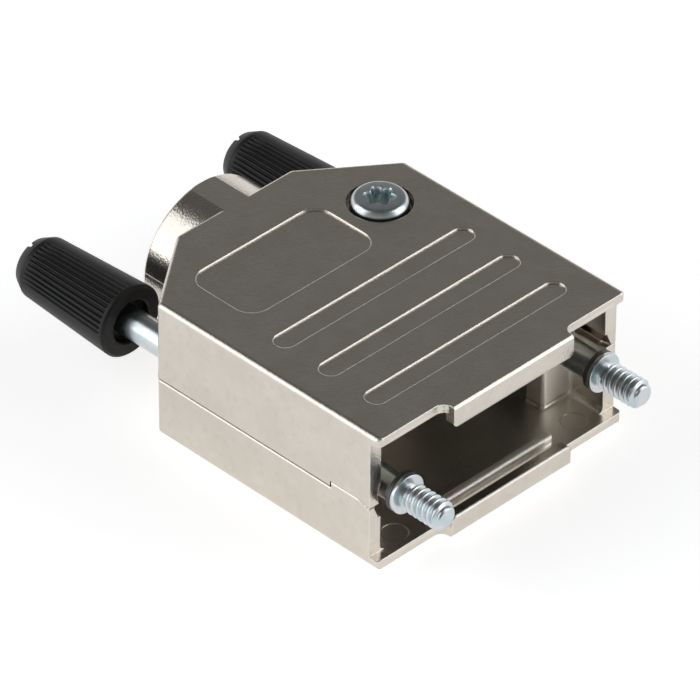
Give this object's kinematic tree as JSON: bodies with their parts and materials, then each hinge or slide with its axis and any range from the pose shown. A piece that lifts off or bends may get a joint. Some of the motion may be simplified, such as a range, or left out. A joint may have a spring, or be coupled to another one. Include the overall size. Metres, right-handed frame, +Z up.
{
  "type": "d-sub hood",
  "caption": "Die-cast metal hood for a D-sub connector: two screwed half shells, round cable collar, inner cable clamp and long jackscrews with black fluted thumb knobs.",
  "frame": {"origin": "centre of the mating face: the plane of the lips' front faces, midway between the two jackscrews at mid height", "axes": "+X to the right of someone looking into the mouth with the label field up, -Y out of the mouth towards the mating connector, +Y towards the cable, +Z up through the face with the label field"},
  "size_m": [0.0322, 0.0526, 0.016],
  "materials": {
    "cast_shell": "satin nickel plating over die-cast zinc",
    "plated_steel": "bright zinc plated steel",
    "dark_spring_steel": "dark oiled spring steel",
    "black_plastic": "moulded black plastic",
    "clamp_metal": "plain zinc plated steel"
  },
  "bodies": {
    "hood": {"upper_shell": "cast_shell", "lower_shell": "cast_shell", "upper_assembly_screw": "plated_steel", "lower_assembly_screw": "plated_steel", "upper_clamp_bar": "clamp_metal", "lower_clamp_bar": "clamp_metal", "left_clamp_screw": "plated_steel", "right_clamp_screw": "plated_steel"},
    "left_ring": {"left_retaining_ring": "dark_spring_steel"},
    "right_ring": {"right_retaining_ring": "dark_spring_steel"},
    "left_screw": {"left_jackscrew": "plated_steel", "left_thumb_knob": "black_plastic"},
    "right_screw": {"right_jackscrew": "plated_steel", "right_thumb_knob": "black_plastic"}
  },
  "joints": [
    {"name": "left_screw_travel", "type": "slide", "parent": "hood", "child": "left_ring", "axis": [0, 1, 0], "range_m": [-0.0013, 0.0045]},
    {"name": "left_screw_turn", "type": "hinge", "parent": "left_ring", "child": "left_screw", "pos_m": [-0.01249, 0.00138, 0], "axis": [0, 1, 0], "continuous": true},
    {"name": "right_screw_travel", "type": "slide", "parent": "hood", "child": "right_ring", "axis": [0, 1, 0], "range_m": [-0.0002, 0.0045]},
    {"name": "right_screw_turn", "type": "hinge", "parent": "right_ring", "child": "right_screw", "pos_m": [0.01249, 0.00138, 0], "axis": [0, 1, 0], "continuous": true}
  ]
}
